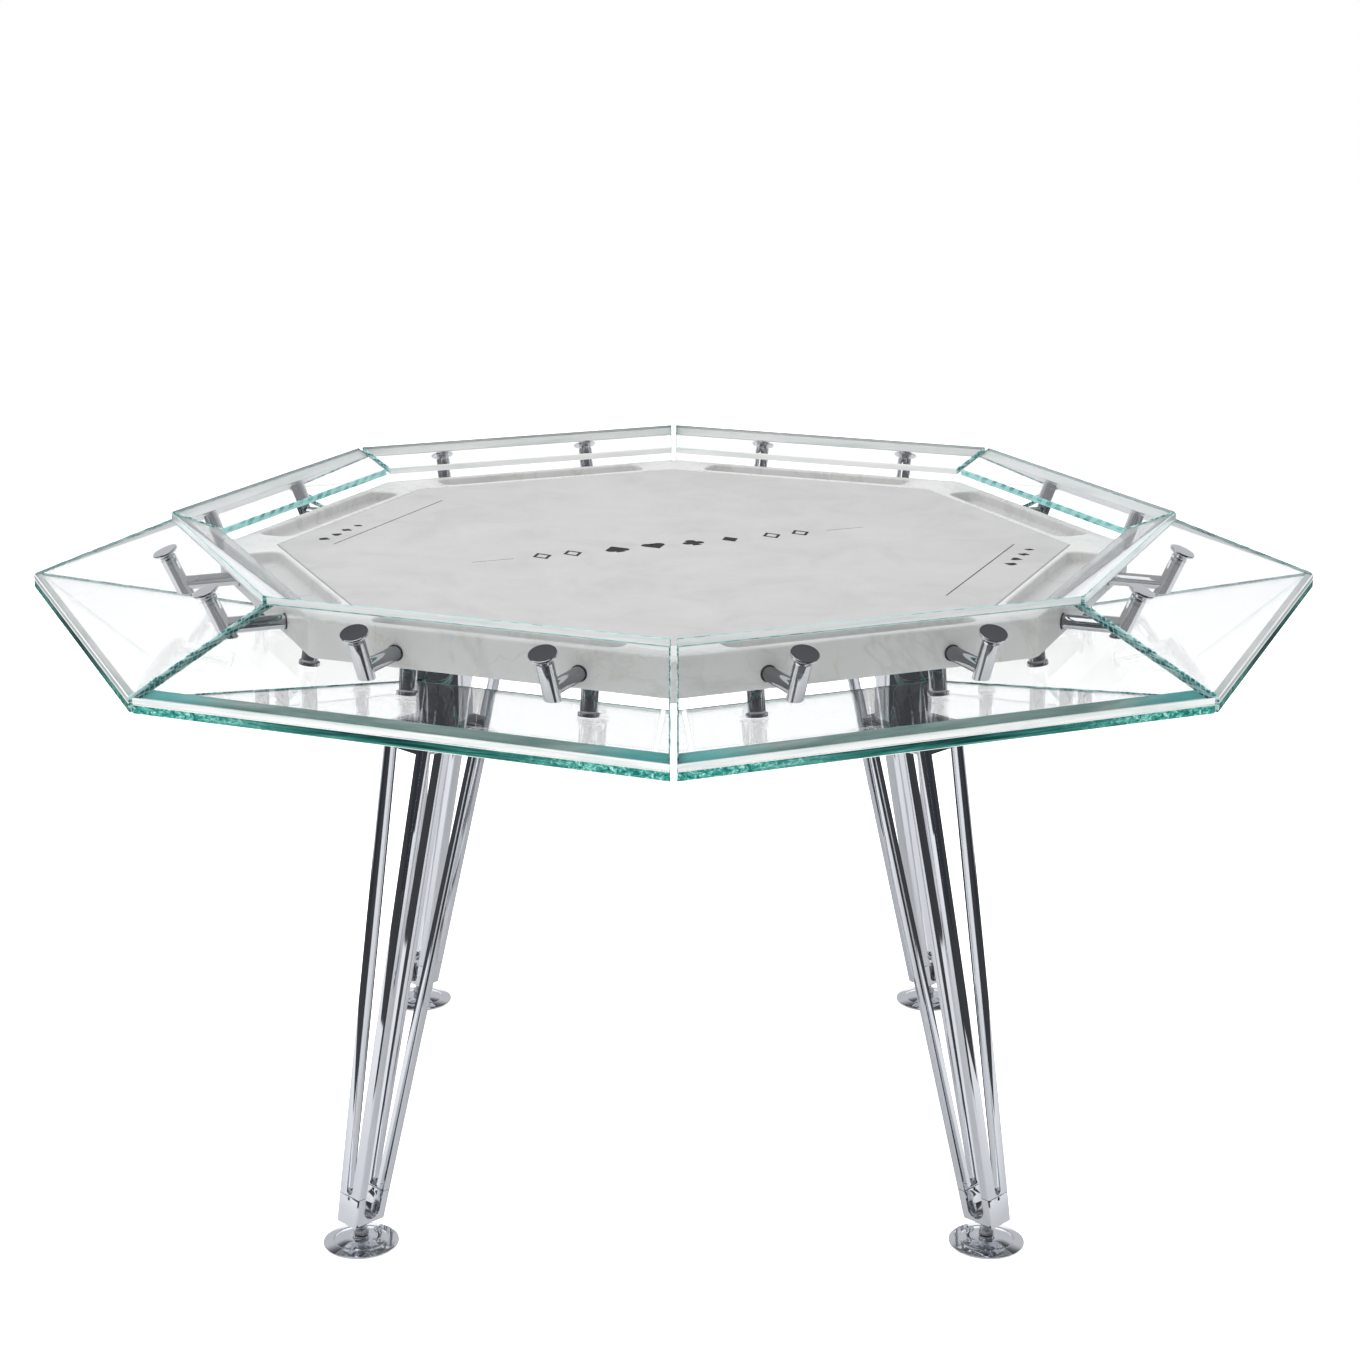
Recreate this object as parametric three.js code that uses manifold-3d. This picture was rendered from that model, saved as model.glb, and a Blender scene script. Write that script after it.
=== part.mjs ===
// Octagonal glass card table for eight players, in millimetres, +Z up.
// Origin on the floor under the centre of the table; one corner of the octagon points to -Y.
// Each side of the rim is three bonded glass slabs (slope, lip, base) carried by two steel brackets.
import * as THREE from 'three';
import { mergeVertices } from 'three/addons/utils/BufferGeometryUtils.js';
import Module from 'manifold-3d';

const wasm = await Module();
wasm.setup();

// ---- the octagon ----
const SIDES = 8;
const TURN = 2 * Math.PI / SIDES;
const HALF_TURN = TURN / 2;
const FIRST_SIDE = -Math.PI / 2 + HALF_TURN;   // direction of the first side's outward normal
const FIRST_LEG = -Math.PI / 2 + TURN;         // legs stand under every second corner
const FIT_GAP = 0.3;                           // clearance between touching pieces
const HOLE_CLEARANCE = 0.5;                    // extra radius of every hole that a pin or stud stands in
const OVERCUT = 1;                             // how far a cutting solid runs past the face that it opens
const ROUND = { cap: 16, stem: 12, rod: 10, post: 12, collar: 6, stud: 16, slot: 12, socket: 24, disc: 28 };

// ---- glass rim: apothem (centre to the middle of a side) and height of each edge line ----
const RIM_OUTER = 725;          // outer edge
const RIM_RIDGE = 566;          // highest line, where slope and lip meet
const RIM_INNER = 510;          // free inner edge of the lip
const BASE_INNER = 374;         // inner edge of the base slab, around the leg sockets
const RIDGE_TOP = 790;
const LIP_INNER_TOP = 768;
const SLOPE_OUTER_TOP = 713;
const BASE_OUTER_TOP = 706.4;
const BASE_TILT = THREE.MathUtils.degToRad(9);   // the base slab falls towards the centre
const SLOPE_THICK = 12;
const LIP_THICK = 8;
const BASE_THICK = 10;
const MITRE_GAP = 6;            // open joint between neighbouring sections

// ---- stone ring, playing field and base plate ----
const RING_OUTER = 511;
const RING_BORE = 448;
const RING_TOP = 750;
const RING_BOTTOM = 705;
const RING_CORNER = 26;         // rounded corners of the ring's outside
const BORE_CORNER = 1;          // rounded corners of the ring's bore and rebate
const PANEL_CORNER = 1.5;       // rounded corners of the panels that lie in them
const REBATE_APOTHEM = 462;     // step under the ring that takes the base plate
const REBATE_TOP = 717;
const TRAY_LENGTH = 292;
const TRAY_WIDTH = 43;
const TRAY_DEPTH = 15;
const TRAY_CORNER = 14;
const TRAY_CENTRE = 477.5;
const FIELD_TOP = 749.4;

// ---- brackets ----
const BRACKET_SPREAD = 107;     // each side of the middle of a rim section
const CAP_APOTHEM = 599;        // where the stem's axis meets the top of the slope
const CAP_RADIUS = 15.3;
const CAP_THICK = 4.2;
const NECK_RADIUS = 5;          // the neck joins cap and stem through the slope slab
const STEM_RADIUS = 9.2;
const STEM_DROP = 62.5;         // from the top of the slope to the stem's level foot, along the stem
const ROD_RADIUS = 8.2;
const ROD_HEIGHT = 722;
const POST_RADIUS = 9.6;
const POST_APOTHEM = 485;       // where the post stands on the base slab, square to it
const POST_LENGTH = 60;
const PAD_RADIUS = 10.6;        // bonding pad under the post
const PAD_THICK = 5;

// ---- legs ----
const LEG_BOTTOM = { z: 30, radius: 514, wide: 34, deep: 44 };     // wide: across, deep: along the radius
const LEG_TOP = { z: 592, radius: 382, wide: 73, deep: 94 };
const LEG_BAR = { wide: 13.5, deep: 11 };
const LEG_HEAD = 12;            // closed plate above the slots
const LEG_EDGE = 1.5;           // chamfer along the leg's outer edges
const SLOT_OVERRUN = 60;        // how far a slot's cutter stands out of the leg on each side
const SIDE_SLOT_FLOOR = 46;     // the wide slots in the two sides start here
const FACE_SLOT_FLOOR = 70;     // the narrow slots in the front and back start here
const PIN_HOLE_RADIUS = 2.2;    // small hole under each narrow slot
const PIN_HOLE_HEIGHT = 60.5;
const SOCKET_RADIUS = 32;
const SOCKET_CENTRE = 368;
const SOCKET_FLANGE_RADIUS = 45;
const SOCKET_FLANGE_THICK = 6;

// ---- levelling feet ----
const FOOT_RADIUS = 44;
const FOOT_RIM = 3;
const FOOT_DOME = 8.5;
const FOOT_HUB_RADIUS = 11;
const FOOT_HUB_TOP = 10.4;
const STUD_RADIUS = 6;
const STUD_TIP = 3.4;
const STUD_TOP = 50;
const STUD_CHAMFER = 1;
const STUD_HOLE_OVERRUN = 12;   // the tapped hole runs this far past the stud's top
const RECESS_FLOOR = 3;         // bottom of the disc's recess for the stud
const COLLAR_RADIUS = 9.5;
const COLLAR_BOTTOM = 11;
const COLLAR_TOP = 18;

// ---- finishes ----
const finishes = {
  slopeGlass: { color: 0xdfeeea, roughness: 0.03, metalness: 0, transparent: true, opacity: 0.35 },
  lipGlass: { color: 0xd6ebe6, roughness: 0.03, metalness: 0, transparent: true, opacity: 0.35 },
  baseGlass: { color: 0xcfe6e0, roughness: 0.03, metalness: 0, transparent: true, opacity: 0.35 },
  chrome: { color: 0xc9ccd1, roughness: 0.08, metalness: 1 },
  brushedSteel: { color: 0xa9acb0, roughness: 0.35, metalness: 1 },
  marble: { color: 0xe9e9e7, roughness: 0.3, metalness: 0 },
  leather: { color: 0xc4c4c3, roughness: 0.75, metalness: 0 },
  plywood: { color: 0x6b655d, roughness: 0.7, metalness: 0 },
};

const table = new THREE.Group();

// ---------------------------------------------------------------- helpers

function addPiece(name, geometry, finish, angle = 0) {
  const look = new THREE.MeshStandardMaterial({ ...finishes[finish], flatShading: true });
  const mesh = new THREE.Mesh(geometry, look);
  mesh.name = name;
  mesh.rotation.z = angle;
  table.add(mesh);
}

function toSolid(geometry) {
  const bare = new THREE.BufferGeometry();
  bare.setAttribute('position', geometry.getAttribute('position'));
  if (geometry.index) bare.setIndex(geometry.index);
  const merged = mergeVertices(bare, 1e-3);
  return new wasm.Manifold(new wasm.Mesh({
    numProp: 3,
    vertProperties: new Float32Array(merged.attributes.position.array),
    triVerts: new Uint32Array(merged.index.array),
  }));
}

function toGeometry(solid) {
  const mesh = solid.getMesh();
  const geometry = new THREE.BufferGeometry();
  geometry.setAttribute('position', new THREE.BufferAttribute(mesh.vertProperties, mesh.numProp));
  geometry.setIndex(new THREE.BufferAttribute(mesh.triVerts, 1));
  geometry.computeVertexNormals();
  return geometry;
}

// Cylinder between two points.
function rod(from, to, radius, segments) {
  const along = new THREE.Vector3().subVectors(to, from);
  const geometry = new THREE.CylinderGeometry(radius, radius, along.length(), segments);
  const upright = new THREE.Vector3(0, 1, 0);
  geometry.applyQuaternion(new THREE.Quaternion().setFromUnitVectors(upright, along.normalize()));
  geometry.translate(...new THREE.Vector3().addVectors(from, to).multiplyScalar(0.5).toArray());
  return geometry;
}

// Turned piece on an upright axis, its profile given as [radius, z] points.
function lathe(profile, segments, offset) {
  const points = profile.map(([radius, z]) => new THREE.Vector2(radius, z));
  const geometry = new THREE.LatheGeometry(points, segments);
  geometry.rotateX(Math.PI / 2);
  geometry.translate(offset, 0, 0);
  return geometry;
}

// Closed skin over two rings of matching points, `low` below `high`, both counter-clockwise from above.
function skin(low, high) {
  const count = low.length;
  const positions = [...low, ...high].flat();
  const faces = [];
  for (let i = 1; i < count - 1; i += 1) {
    faces.push(0, i + 1, i);
    faces.push(count, count + i, count + i + 1);
  }
  for (let i = 0; i < count; i += 1) {
    const next = (i + 1) % count;
    faces.push(i, next, count + next);
    faces.push(i, count + next, count + i);
  }
  const geometry = new THREE.BufferGeometry();
  geometry.setAttribute('position', new THREE.Float32BufferAttribute(positions, 3));
  geometry.setIndex(faces);
  geometry.computeVertexNormals();
  return geometry;
}

// Slab along one side of the octagon: a convex section of [apothem, z] points, mitred at both ends.
function mitredSlab(section) {
  const end = (apothem) => apothem * Math.tan(HALF_TURN) - MITRE_GAP / 2 / Math.cos(HALF_TURN);
  const near = section.map(([apothem, z]) => [apothem, -end(apothem), z]);
  const far = section.map(([apothem, z]) => [apothem, end(apothem), z]);
  return skin(far, near);
}

// Octagon with a flat side across +X, its corners rounded.
function octagonPath(path, apothem, corner) {
  const centre = (apothem - corner) / Math.cos(HALF_TURN);
  for (let i = 0; i < SIDES; i += 1) {
    const middle = (i + 0.5) * TURN;
    const x = centre * Math.cos(middle);
    const y = centre * Math.sin(middle);
    path.absarc(x, y, corner, middle - HALF_TURN, middle + HALF_TURN, false);
  }
  path.closePath();
  return path;
}

function octagonPlate(apothem, corner, bottom, top, cornerSteps = 1) {
  const shape = octagonPath(new THREE.Shape(), apothem, corner);
  const options = { depth: top - bottom, bevelEnabled: false, curveSegments: cornerSteps };
  const geometry = new THREE.ExtrudeGeometry(shape, options);
  geometry.rotateZ(FIRST_SIDE);
  geometry.translate(0, 0, bottom);
  return geometry;
}

// ---------------------------------------------------------------- glass rim

const slopeRun = RIM_OUTER - RIM_RIDGE;
const lipTilt = Math.atan2(RIDGE_TOP - LIP_INNER_TOP, RIM_RIDGE - RIM_INNER);
const lipEdge = LIP_THICK / Math.cos(lipTilt);             // height of the lip's upright edges
const slopeInnerTop = RIDGE_TOP - lipEdge - FIT_GAP;
const slopeTilt = Math.atan2(slopeInnerTop - SLOPE_OUTER_TOP, slopeRun);
const slopeDrop = SLOPE_THICK / Math.cos(slopeTilt);       // the slope slab's thickness, measured upright
const baseDrop = BASE_THICK / Math.cos(BASE_TILT);

const slopeTop = (apothem) => SLOPE_OUTER_TOP + (RIM_OUTER - apothem) * Math.tan(slopeTilt);
const slopeUnder = (apothem) => slopeTop(apothem) - slopeDrop;
const baseTop = (apothem) => BASE_OUTER_TOP - (RIM_OUTER - apothem) * Math.tan(BASE_TILT);
const lipUnder = (apothem) => RIDGE_TOP - lipEdge - (RIM_RIDGE - apothem) * Math.tan(lipTilt);

function crossing(lineA, lineB, start, reach) {
  const before = lineA(start) - lineB(start);
  const after = lineA(start - reach) - lineB(start - reach);
  return start - reach * before / (before - after);
}

// The slope's lower edge is bevelled to lie on the base, its upper edge to lie under the lip.
function slopeSection() {
  const onBase = (apothem) => baseTop(apothem) + FIT_GAP;
  const underLip = (apothem) => lipUnder(apothem) - FIT_GAP;
  const heel = crossing(slopeUnder, onBase, RIM_OUTER, slopeRun);
  const toe = crossing(slopeUnder, underLip, RIM_RIDGE, slopeRun);
  return [
    [heel, onBase(heel)],
    [RIM_OUTER, onBase(RIM_OUTER)],
    [RIM_OUTER, SLOPE_OUTER_TOP],
    [RIM_RIDGE, slopeTop(RIM_RIDGE)],
    [toe, underLip(toe)],
  ];
}

function lipSection() {
  return [
    [RIM_INNER, LIP_INNER_TOP - lipEdge],
    [RIM_RIDGE, RIDGE_TOP - lipEdge],
    [RIM_RIDGE, RIDGE_TOP],
    [RIM_INNER, LIP_INNER_TOP],
  ];
}

function baseSection() {
  return [
    [BASE_INNER, baseTop(BASE_INNER) - baseDrop],
    [RIM_OUTER, BASE_OUTER_TOP - baseDrop],
    [RIM_OUTER, BASE_OUTER_TOP],
    [BASE_INNER, baseTop(BASE_INNER)],
  ];
}

// ---------------------------------------------------------------- brackets

// A point of the stem's axis, `rise` above the top of the slope.
function stemAt(side, rise) {
  const square = new THREE.Vector3(Math.sin(slopeTilt), 0, Math.cos(slopeTilt));
  const foot = new THREE.Vector3(CAP_APOTHEM, side * BRACKET_SPREAD, slopeTop(CAP_APOTHEM));
  return foot.addScaledVector(square, rise);
}

// A point of the post's axis, `rise` above the base slab.
function postAt(side, rise) {
  const square = new THREE.Vector3(-Math.sin(BASE_TILT), 0, Math.cos(BASE_TILT));
  const foot = new THREE.Vector3(POST_APOTHEM, side * BRACKET_SPREAD, baseTop(POST_APOTHEM));
  return foot.addScaledVector(square, rise);
}

// The point at the rod's height on the line through two points.
function atRodHeight(from, to) {
  return from.clone().lerp(to, (ROD_HEIGHT - from.z) / (to.z - from.z));
}

// Slope slab with a hole for each bracket's neck.
function slopeSolid() {
  let solid = toSolid(mitredSlab(slopeSection()));
  for (const side of [-1, 1]) {
    const above = stemAt(side, OVERCUT);
    const below = stemAt(side, -SLOPE_THICK - OVERCUT);
    solid = solid.subtract(toSolid(rod(above, below, NECK_RADIUS + HOLE_CLEARANCE, ROUND.stem)));
  }
  return solid;
}

// Cap on the slope, neck through it, stem under it, rod into the ring, post down to the base slab.
function bracketSolid(side) {
  const capLow = stemAt(side, FIT_GAP);
  const capHigh = stemAt(side, FIT_GAP + CAP_THICK);
  const neckHigh = stemAt(side, FIT_GAP + CAP_THICK / 2);
  const stemHigh = stemAt(side, -SLOPE_THICK - FIT_GAP);
  const stemFoot = stemAt(side, -STEM_DROP);
  const stemLow = stemAt(side, -STEM_DROP - STEM_RADIUS);
  const rodOuter = atRodHeight(stemHigh, stemFoot);
  const postLow = postAt(side, FIT_GAP);
  const postHigh = postAt(side, POST_LENGTH);
  const rodInner = atRodHeight(postLow, postHigh);

  let solid = toSolid(rod(capLow, capHigh, CAP_RADIUS, ROUND.cap));
  solid = solid.add(toSolid(rod(neckHigh, stemFoot, NECK_RADIUS, ROUND.stem)));
  solid = solid.add(toSolid(rod(stemHigh, stemLow, STEM_RADIUS, ROUND.stem)));
  solid = solid.add(toSolid(rod(rodInner, rodOuter, ROD_RADIUS, ROUND.rod)));
  solid = solid.add(toSolid(rod(postLow, postHigh, POST_RADIUS, ROUND.post)));
  solid = solid.add(toSolid(rod(postLow, postAt(side, FIT_GAP + PAD_THICK), PAD_RADIUS, ROUND.post)));

  // The stem's foot is cut level.
  const wide = 4 * STEM_RADIUS;
  const below = new THREE.BoxGeometry(wide, wide, wide);
  below.translate(stemFoot.x, stemFoot.y, stemFoot.z - wide / 2);
  return solid.subtract(toSolid(below));
}

// ---------------------------------------------------------------- stone ring

function trayCutter() {
  const long = TRAY_LENGTH / 2 - TRAY_CORNER;
  const wide = TRAY_WIDTH / 2 - TRAY_CORNER;
  const quarter = Math.PI / 2;
  const shape = new THREE.Shape();
  [[wide, long], [-wide, long], [-wide, -long], [wide, -long]].forEach(([x, y], index) => {
    shape.absarc(x, y, TRAY_CORNER, index * quarter, (index + 1) * quarter, false);
  });
  const options = { depth: 2 * TRAY_DEPTH, bevelEnabled: false, curveSegments: 4 };
  const geometry = new THREE.ExtrudeGeometry(shape, options);
  geometry.translate(TRAY_CENTRE, 0, RING_TOP - TRAY_DEPTH);
  return geometry;
}

function bracketPockets(side) {
  const up = postAt(side, POST_LENGTH + HOLE_CLEARANCE);
  const down = postAt(side, 0);
  const inside = atRodHeight(down, up);
  const outside = new THREE.Vector3(RING_OUTER + ROD_RADIUS, side * BRACKET_SPREAD, ROD_HEIGHT);
  const bore = toSolid(rod(up, down, POST_RADIUS + HOLE_CLEARANCE, ROUND.post));
  return bore.add(toSolid(rod(inside, outside, ROD_RADIUS + HOLE_CLEARANCE, ROUND.rod)));
}

function ringSolid() {
  const low = RING_BOTTOM - OVERCUT;
  let solid = toSolid(octagonPlate(RING_OUTER, RING_CORNER, RING_BOTTOM, RING_TOP, 4));
  solid = solid.subtract(toSolid(octagonPlate(RING_BORE, BORE_CORNER, low, RING_TOP + OVERCUT)));
  solid = solid.subtract(toSolid(octagonPlate(REBATE_APOTHEM, BORE_CORNER, low, REBATE_TOP)));
  for (let k = 0; k < SIDES; k += 1) {
    const angle = THREE.MathUtils.radToDeg(FIRST_SIDE + k * TURN);
    solid = solid.subtract(toSolid(trayCutter()).rotate([0, 0, angle]));
    for (const side of [-1, 1]) {
      solid = solid.subtract(bracketPockets(side).rotate([0, 0, angle]));
    }
  }
  return solid;
}

// ---------------------------------------------------------------- legs

// The leg's size at any height, on straight lines between its bottom and its top.
function legAt(z) {
  const share = (z - LEG_BOTTOM.z) / (LEG_TOP.z - LEG_BOTTOM.z);
  const mix = (key) => THREE.MathUtils.lerp(LEG_BOTTOM[key], LEG_TOP[key], share);
  return { radius: mix('radius'), wide: mix('wide'), deep: mix('deep') };
}

// Level rectangle of points at height z, grown along the radius and across it.
function legRing(z, growDeep, growWide) {
  const { radius, wide, deep } = legAt(z);
  const a = deep / 2 + growDeep;
  const b = wide / 2 + growWide;
  return [[radius - a, -b, z], [radius + a, -b, z], [radius + a, b, z], [radius - a, b, z]];
}

// The leg's own outline at height z, with chamfered corners.
function legOutline(z) {
  const { radius, wide, deep } = legAt(z);
  const a = deep / 2;
  const b = wide / 2;
  const e = LEG_EDGE;
  return [
    [radius - a + e, -b, z], [radius + a - e, -b, z], [radius + a, e - b, z], [radius + a, b - e, z],
    [radius + a - e, b, z], [radius - a + e, b, z], [radius - a, b - e, z], [radius - a, e - b, z],
  ];
}

function legSolid() {
  const reach = SLOT_OVERRUN;
  const head = LEG_TOP.z - LEG_HEAD;
  let solid = toSolid(skin(legOutline(LEG_BOTTOM.z), legOutline(LEG_TOP.z)));

  const sideFloor = legAt(SIDE_SLOT_FLOOR);
  const sideRound = sideFloor.deep / 2 - LEG_BAR.deep;
  const sideSlot = skin(legRing(SIDE_SLOT_FLOOR, -LEG_BAR.deep, reach), legRing(head, -LEG_BAR.deep, reach));
  const sideEnd = rod(
    new THREE.Vector3(sideFloor.radius, -reach, SIDE_SLOT_FLOOR),
    new THREE.Vector3(sideFloor.radius, reach, SIDE_SLOT_FLOOR), sideRound, ROUND.slot);
  solid = solid.subtract(toSolid(sideSlot)).subtract(toSolid(sideEnd));

  const faceFloor = legAt(FACE_SLOT_FLOOR);
  const faceRound = faceFloor.wide / 2 - LEG_BAR.wide;
  const faceSlot = skin(legRing(FACE_SLOT_FLOOR, reach, -LEG_BAR.wide), legRing(head, reach, -LEG_BAR.wide));
  const faceEnd = rod(
    new THREE.Vector3(faceFloor.radius - reach, 0, FACE_SLOT_FLOOR),
    new THREE.Vector3(faceFloor.radius + reach, 0, FACE_SLOT_FLOOR), faceRound, ROUND.slot);
  solid = solid.subtract(toSolid(faceSlot)).subtract(toSolid(faceEnd));

  const pinLow = new THREE.Vector3(LEG_BOTTOM.radius - reach, 0, PIN_HOLE_HEIGHT);
  const pinHigh = new THREE.Vector3(LEG_BOTTOM.radius + reach, 0, PIN_HOLE_HEIGHT);
  solid = solid.subtract(toSolid(rod(pinLow, pinHigh, PIN_HOLE_RADIUS, ROUND.collar)));

  // Tapped hole for the levelling stud, open into the side slots.
  const holeLow = new THREE.Vector3(LEG_BOTTOM.radius, 0, LEG_BOTTOM.z - OVERCUT);
  const holeHigh = new THREE.Vector3(LEG_BOTTOM.radius, 0, STUD_TOP + STUD_HOLE_OVERRUN);
  return solid.subtract(toSolid(rod(holeLow, holeHigh, STUD_RADIUS + HOLE_CLEARANCE, ROUND.stud)));
}

function socketSolid() {
  const bottom = LEG_TOP.z + FIT_GAP;
  const top = RING_BOTTOM;
  const flange = top - SOCKET_FLANGE_THICK;
  const profile = [
    [0, bottom], [SOCKET_RADIUS, bottom], [SOCKET_RADIUS, flange],
    [SOCKET_FLANGE_RADIUS, flange], [SOCKET_FLANGE_RADIUS, top], [0, top],
  ];
  return lathe(profile, ROUND.socket, SOCKET_CENTRE);
}

// ---------------------------------------------------------------- feet

function footDisc() {
  const recess = STUD_RADIUS + HOLE_CLEARANCE;
  const profile = [[0, 0], [FOOT_RADIUS, 0], [FOOT_RADIUS, FOOT_RIM]];
  const steps = 4;
  for (let i = 1; i <= steps; i += 1) {
    const share = i / steps;
    const radius = THREE.MathUtils.lerp(FOOT_RADIUS, FOOT_HUB_RADIUS, share);
    profile.push([radius, FOOT_RIM + (FOOT_DOME - FOOT_RIM) * Math.sin(share * Math.PI / 2)]);
  }
  profile.push([FOOT_HUB_RADIUS, FOOT_HUB_TOP], [recess, FOOT_HUB_TOP]);
  profile.push([recess, RECESS_FLOOR], [0, RECESS_FLOOR]);
  return lathe(profile, ROUND.disc, LEG_BOTTOM.radius);
}

function footStud() {
  const profile = [
    [0, STUD_TIP], [STUD_RADIUS, STUD_TIP], [STUD_RADIUS, STUD_TOP - STUD_CHAMFER],
    [STUD_RADIUS - STUD_CHAMFER, STUD_TOP], [0, STUD_TOP],
  ];
  const shank = lathe(profile, ROUND.stud, LEG_BOTTOM.radius);
  const collar = rod(
    new THREE.Vector3(LEG_BOTTOM.radius, 0, COLLAR_BOTTOM),
    new THREE.Vector3(LEG_BOTTOM.radius, 0, COLLAR_TOP), COLLAR_RADIUS, ROUND.collar);
  return toSolid(shank).add(toSolid(collar));
}

// ---------------------------------------------------------------- assembly

for (let k = 0; k < SIDES; k += 1) {
  const angle = FIRST_SIDE + k * TURN;
  const number = k + 1;
  addPiece(`glass_slope_${number}`, toGeometry(slopeSolid()), 'slopeGlass', angle);
  addPiece(`glass_lip_${number}`, mitredSlab(lipSection()), 'lipGlass', angle);
  addPiece(`glass_base_${number}`, mitredSlab(baseSection()), 'baseGlass', angle);
  addPiece(`bracket_${number}_left`, toGeometry(bracketSolid(-1)), 'chrome', angle);
  addPiece(`bracket_${number}_right`, toGeometry(bracketSolid(1)), 'chrome', angle);
}

addPiece('stone_ring', toGeometry(ringSolid()), 'marble');
const field = octagonPlate(RING_BORE - FIT_GAP, PANEL_CORNER, REBATE_TOP, FIELD_TOP);
addPiece('playing_field', field, 'leather');
const plateLow = RING_BOTTOM + FIT_GAP;
const plate = octagonPlate(REBATE_APOTHEM - FIT_GAP, PANEL_CORNER, plateLow, REBATE_TOP - FIT_GAP);
addPiece('base_plate', plate, 'plywood');

const legNames = ['front_left', 'rear_left', 'rear_right', 'front_right'];
legNames.forEach((name, index) => {
  const angle = FIRST_LEG - (index + 1) * 2 * TURN;
  addPiece(`leg_${name}`, toGeometry(legSolid()), 'chrome', angle);
  addPiece(`leg_socket_${name}`, socketSolid(), 'chrome', angle);
  addPiece(`foot_disc_${name}`, footDisc(), 'chrome', angle);
  addPiece(`foot_stud_${name}`, toGeometry(footStud()), 'brushedSteel', angle);
});

export default table;
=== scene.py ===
"""Looks of the octagonal glass card table: polished float glass, chromed steel, marble and leather.

Metres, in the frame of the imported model. One corner of the octagon points to -Y, towards the camera.
Each rim section is built in its own frame, with +X outwards, and then turned into place.
"""

import math

import bmesh
import bpy
from mathutils import Matrix, Vector


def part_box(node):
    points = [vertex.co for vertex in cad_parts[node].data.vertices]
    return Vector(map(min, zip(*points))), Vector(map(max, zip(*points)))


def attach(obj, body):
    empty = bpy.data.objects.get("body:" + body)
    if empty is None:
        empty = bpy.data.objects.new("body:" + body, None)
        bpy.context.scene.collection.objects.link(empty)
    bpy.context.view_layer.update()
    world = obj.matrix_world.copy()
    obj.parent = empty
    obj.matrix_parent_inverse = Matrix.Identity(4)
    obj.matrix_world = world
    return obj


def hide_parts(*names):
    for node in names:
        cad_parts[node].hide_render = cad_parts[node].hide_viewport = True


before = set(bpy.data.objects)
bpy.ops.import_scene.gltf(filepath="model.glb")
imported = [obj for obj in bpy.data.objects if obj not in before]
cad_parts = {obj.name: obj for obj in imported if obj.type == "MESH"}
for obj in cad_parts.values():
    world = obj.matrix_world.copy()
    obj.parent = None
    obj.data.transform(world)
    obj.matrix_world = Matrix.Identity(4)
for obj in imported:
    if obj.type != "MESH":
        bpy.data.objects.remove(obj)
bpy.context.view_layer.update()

SIDES = 8
TURN = 2 * math.pi / SIDES
FIRST_SIDE = -math.pi / 2 + TURN / 2
FRONT_SECTIONS = (0, 7)        # the bonded joints of these catch the light
REAR_SECTIONS = (3, 4)         # the inner edges of these are seen against the light
LEGS = ("front_left", "rear_left", "rear_right", "front_right")
UP = Vector((0, 0, 1))
HAIR = 0.0001                  # tolerance when the CAD's points are compared, and the thinnest gap

# ---- materials ----
WAVE_PERIOD = 2 * math.pi / 20 # length of one wave along X at scale 1
MARBLE_TONE = 0.775
TRAY_TONE = 0.64               # stands in for the shade in the trays

# ---- glass rim ----
# The edge materials paint the light seen in the glass's edges: reflections, glints and light trapped in the
# slab
CLEAR, MITRE, BASE, PALE, BONDED, LIP = range(6)   # a slab's materials
ARRIS = 0.0008                 # polished chamfer on every glass edge
ARRIS_FROM = 10                # degrees: sharper edges than this get the arris
SMALL_FACE = 6e-5              # square metres: the facets of a hole are smaller than this
HEEL_BAND = 0.013              # band of painted light inside the slope's bonded lower edge
BASE_TILT = math.radians(9)

# ---- brackets ----
CAP_EDGE = 0.0009
CAP_TAPER = (0.0022, 0.0016)   # how far the cap's underside draws in, and over what height
NECK_RADIUS = 0.005
STEM_RADIUS = 0.0092
STEM_EDGE = 0.0007
GLASS_THICK = 0.0126           # slope slab and the gaps on both sides of it
ROD_RADIUS = 0.0082
ROD_HEIGHT = 0.722
ROD_SHADOW = (0.0009, 0.0014)  # dark ring of painted shade around the rod: how much wider, and how far it stands out
ROD_OVERLAP = 0.003            # how far the rod runs into the ring
POST_RADIUS = 0.0096
POST_EDGE = 0.0005
POST_OVERLAP = 0.004           # how far the post runs up into the ring
POST_GROOVE = 0.0011           # pale bond line between the post and its pad, painted light of the glass seen through it
BOND_INSET = 0.0004
PAD_THICK = 0.0046
PAD_EDGE = 0.0006

# ---- ring, field and print ----
RING_CORNER = 0.026
RING_STEP = 0.012              # depth of the rebate for the base plate
STONE_ARRIS = 0.0022
STONE_CORNER = 0.001           # corners of the bore and rebate
TRAY_CORNER = 0.014
TRAY_FILLET = 0.005            # where a tray's wall meets its floor
FIELD_SEAM = 0.0016            # dark gap around the leather, its dark filler painted shade
FIELD_ROLL = 0.0014            # rounded edge of the leather panel
FIELD_CORNER = 0.002
SEAM_DEPTHS = (0.004, 0.0026)
PRINT_THICK = 0.00008
PRINT_TURN = math.radians(22.5)
SUIT_STEP = 0.05
SUIT_SIZE = 0.03
DIAMOND_REACH = (0.1315, 0.1705)
DIAMOND_SIZE = 0.034
FRAME_INSIDE = 0.62
SHORT_LINE = (0.207, 0.258)
LONG_LINE_REACH = 0.384
LONG_LINE = (-0.128, 0.158)
SHORT_LINE_WIDE = 0.0009
LONG_LINE_WIDE = 0.0014
SMALL_SUIT_REACH = 0.409
SMALL_SUIT_START = 0.095
SMALL_SUIT_STEP = 0.028
SMALL_SUIT_SIZE = 0.014

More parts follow.
